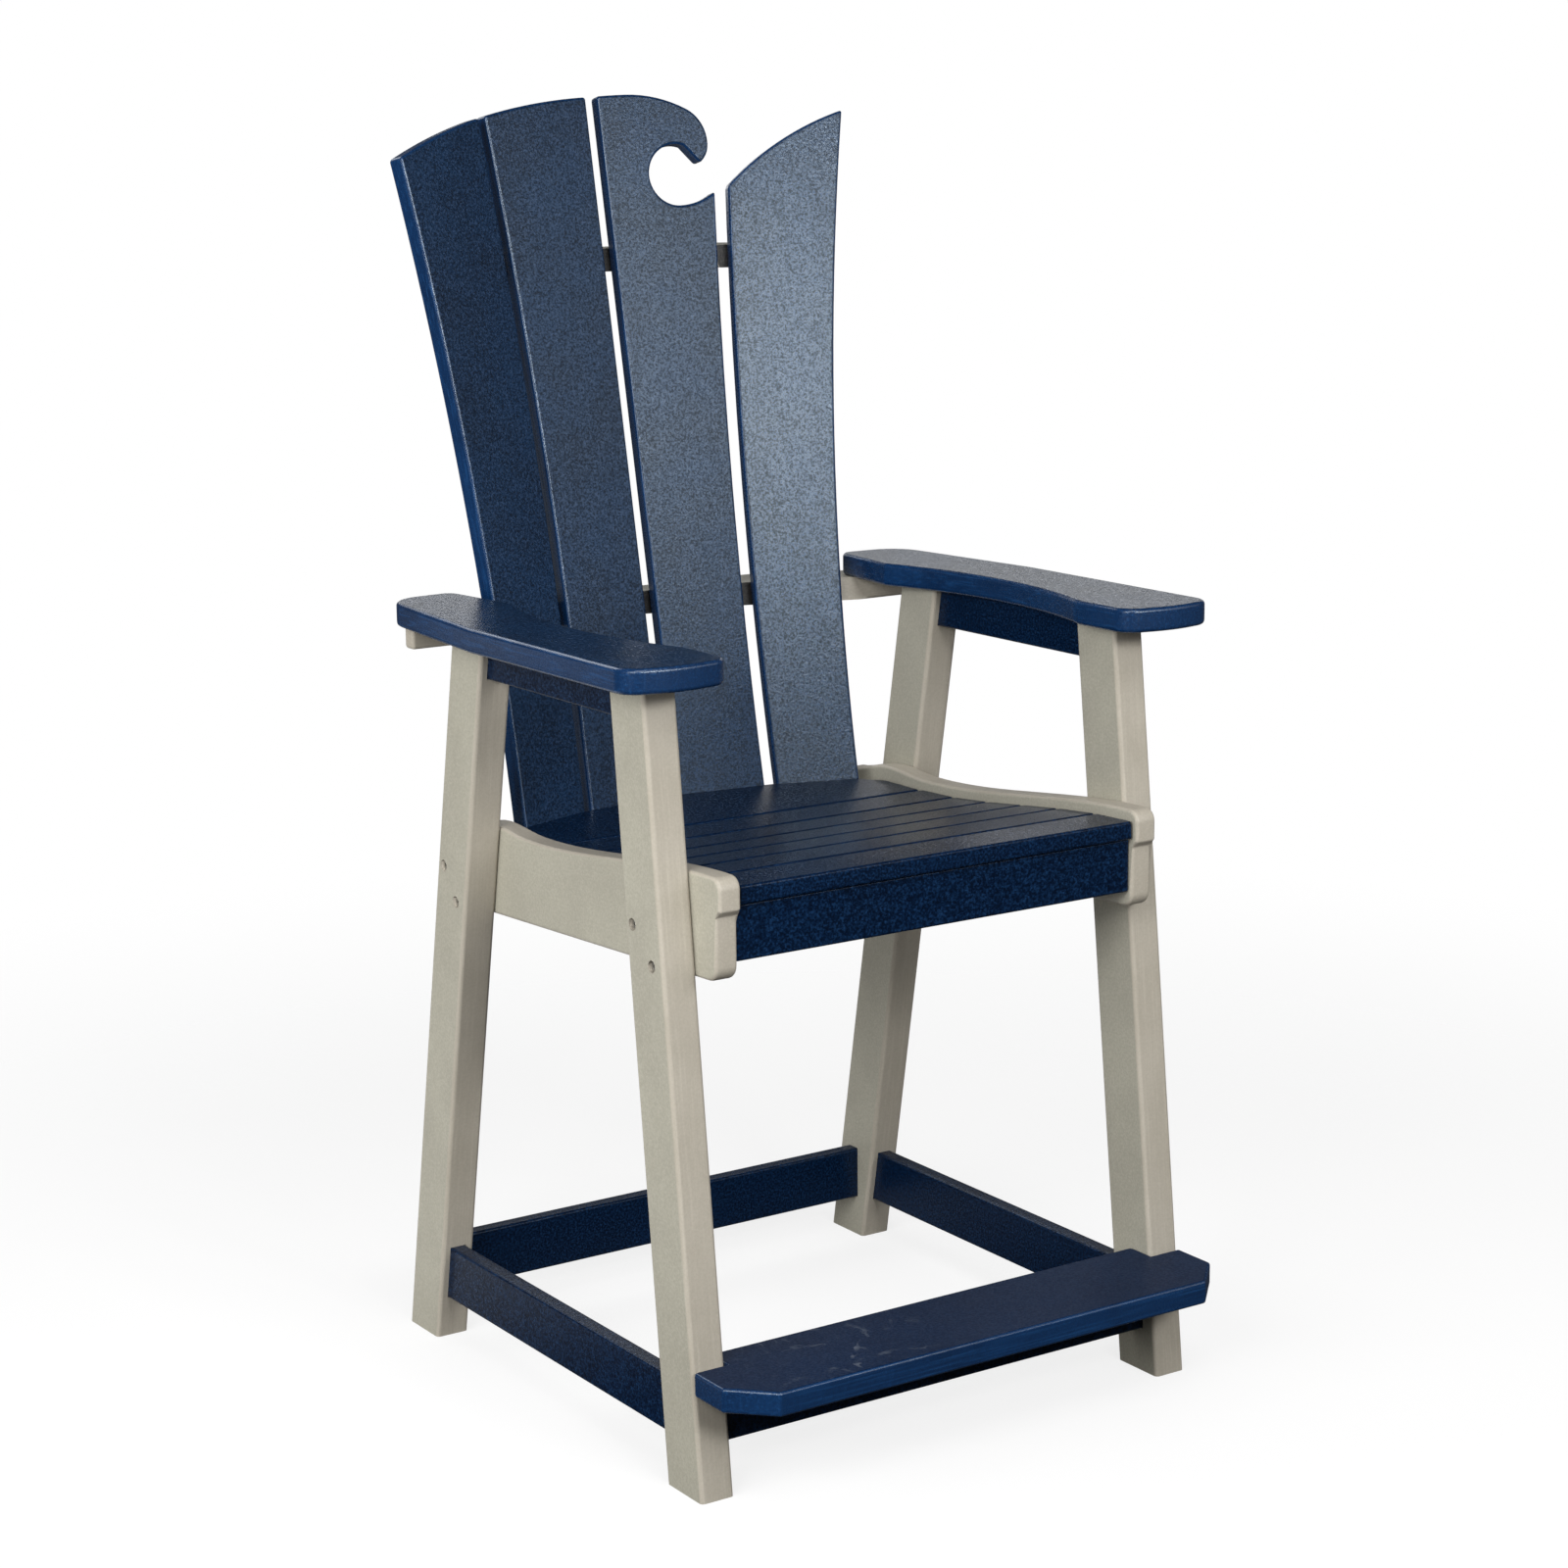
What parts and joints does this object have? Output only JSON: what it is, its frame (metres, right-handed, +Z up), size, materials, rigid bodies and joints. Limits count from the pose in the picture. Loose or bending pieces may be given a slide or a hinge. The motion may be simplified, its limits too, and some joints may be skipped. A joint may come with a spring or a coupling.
{
  "type": "counter chair",
  "caption": "Counter-height armchair of poly lumber boards with a fanned slat back, a wave cut into its top, slatted seat, broad arms and a footrest.",
  "frame": {"origin": "on the floor under the middle of the chair's overall box", "axes": "+Z up, -Y the way the sitter faces, +X to the right when the chair is seen from its front"},
  "size_m": [0.711, 0.7825, 1.3442],
  "materials": {
    "navy_board": "orange-peel faces, smooth milled edges",
    "taupe_board": "finely speckled faces, streaked milled edges",
    "screw_steel": "plain stainless"
  },
  "bodies": {
    "root": {"front_leg_left": "taupe_board", "front_leg_right": "taupe_board", "rear_leg_left": "taupe_board", "rear_leg_right": "taupe_board", "side_stretcher_left": "navy_board", "side_stretcher_right": "navy_board", "front_stretcher": "navy_board", "rear_stretcher": "navy_board", "footrest": "navy_board", "seat_rail_left": "taupe_board", "seat_rail_right": "taupe_board", "seat_cleat_left": "taupe_board", "seat_cleat_right": "taupe_board", "front_apron": "navy_board", "seat_brace": "taupe_board", "seat_slat_1": "navy_board", "seat_slat_2": "navy_board", "seat_slat_3": "navy_board", "seat_slat_4": "navy_board", "seat_slat_5": "navy_board", "seat_slat_6": "navy_board", "seat_slat_7": "navy_board", "back_slat_1": "navy_board", "back_slat_2": "navy_board", "back_slat_3": "navy_board", "back_slat_4": "navy_board", "arm_brace": "taupe_board", "upper_brace": "taupe_board", "arm_apron_left": "navy_board", "arm_apron_right": "navy_board", "armrest_left": "navy_board", "armrest_right": "navy_board", "rail_screws": "screw_steel", "cleat_screws": "screw_steel", "seat_slat_screws": "screw_steel", "apron_screws": "screw_steel", "seat_brace_screws": "screw_steel", "back_slat_screws": "screw_steel", "stretcher_screws": "screw_steel", "footrest_screws": "screw_steel", "arm_apron_screws": "screw_steel", "armrest_screws": "screw_steel"}
  },
  "joints": []
}
